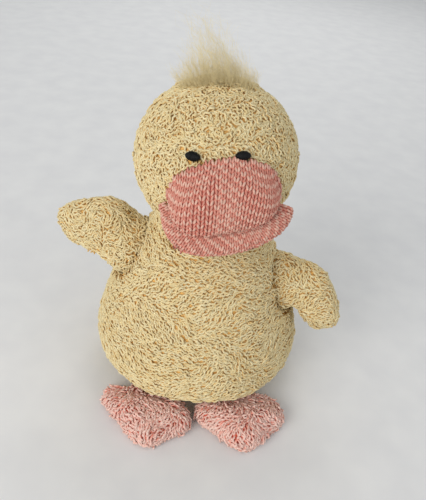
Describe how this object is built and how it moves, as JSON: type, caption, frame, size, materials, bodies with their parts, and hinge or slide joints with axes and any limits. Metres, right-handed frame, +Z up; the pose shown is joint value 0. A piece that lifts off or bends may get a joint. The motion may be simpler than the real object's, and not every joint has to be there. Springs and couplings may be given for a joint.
{
  "type": "plush duck",
  "caption": "Sitting plush duck with a terry body, head, wings and webbed feet, a stuffed knitted bill, embroidered eyes and a tuft of hair.",
  "frame": {"origin": "middle of the flat base panel, on the floor", "axes": "+Z up, -Y out of the face, +X towards the duck's own left wing"},
  "size_m": [0.1713, 0.1411, 0.2044],
  "materials": {
    "terry": "looped terry pile, pale yellow",
    "pink_terry": "looped terry pile, pink",
    "pink_knit": "plain knitted yarn, pink",
    "black_thread": "satin-stitch embroidery, black",
    "hair": "long loose fibres, pale yellow",
    "stuffing": "polyester fibre filling",
    "bag_cotton": "woven cotton bag of plastic pellets"
  },
  "bodies": {
    "torso": {"body_cover": "terry", "body_filling": "stuffing", "pellet_bag": "bag_cotton", "base_panel": "terry"},
    "neck": {"neck_thread": "terry", "neck_filling": "stuffing"},
    "head": {"head_cover": "terry", "head_filling": "stuffing", "eye_left": "black_thread", "eye_right": "black_thread", "upper_bill_cover": "pink_knit", "upper_bill_filling": "stuffing"},
    "jaw": {"lower_bill_cover": "pink_knit", "lower_bill_filling": "stuffing"},
    "tuft": {"tuft": "hair"},
    "wing_left": {"wing_left_cover": "terry", "wing_left_filling": "stuffing"},
    "wing_right": {"wing_right_cover": "terry", "wing_right_filling": "stuffing"},
    "foot_left": {"foot_left_upper": "pink_terry", "foot_left_sole": "pink_terry", "foot_left_filling": "stuffing"},
    "foot_right": {"foot_right_upper": "pink_terry", "foot_right_sole": "pink_terry", "foot_right_filling": "stuffing"}
  },
  "joints": [
    {"name": "head_turn", "type": "hinge", "parent": "torso", "child": "neck", "pos_m": [0, 0, 0.14002], "axis": [0, 0, 1], "range_deg": [-20, 20], "stiffness_Nm_per_rad": 0.1},
    {"name": "head_nod", "type": "hinge", "parent": "neck", "child": "head", "pos_m": [0, 0, 0.14002], "axis": [1, 0, 0], "range_deg": [-10, 15], "stiffness_Nm_per_rad": 0.15},
    {"name": "jaw_open", "type": "hinge", "parent": "head", "child": "jaw", "pos_m": [0.00189, -0.01912, 0.14149], "axis": [0.9907, 0.1045, 0.0867], "range_deg": [0, 10], "stiffness_Nm_per_rad": 0.03, "springref_deg": -5.73},
    {"name": "tuft_sway", "type": "hinge", "parent": "head", "child": "tuft", "pos_m": [-0.00358, 0, 0.18097], "axis": [0.9962, 0, 0.0872], "range_deg": [-20, 20], "stiffness_Nm_per_rad": 0.01},
    {"name": "wing_left_lift", "type": "hinge", "parent": "torso", "child": "wing_left", "pos_m": [0.043, -0.006, 0.068], "axis": [-0.309, -0.9511, 0], "range_deg": [-14, 32], "stiffness_Nm_per_rad": 0.05},
    {"name": "wing_right_lift", "type": "hinge", "parent": "torso", "child": "wing_right", "pos_m": [-0.043, 0.003, 0.08], "axis": [0.2756, 0.9613, 0], "range_deg": [-52, 12], "stiffness_Nm_per_rad": 0.05},
    {"name": "foot_left_lift", "type": "hinge", "parent": "torso", "child": "foot_left", "pos_m": [0.0273, -0.044, 0.0045], "axis": [-1, 0, 0], "range_deg": [-30, 10], "stiffness_Nm_per_rad": 0.03},
    {"name": "foot_right_lift", "type": "hinge", "parent": "torso", "child": "foot_right", "pos_m": [-0.0273, -0.044, 0.0045], "axis": [-1, 0, 0], "range_deg": [-30, 10], "stiffness_Nm_per_rad": 0.03}
  ]
}
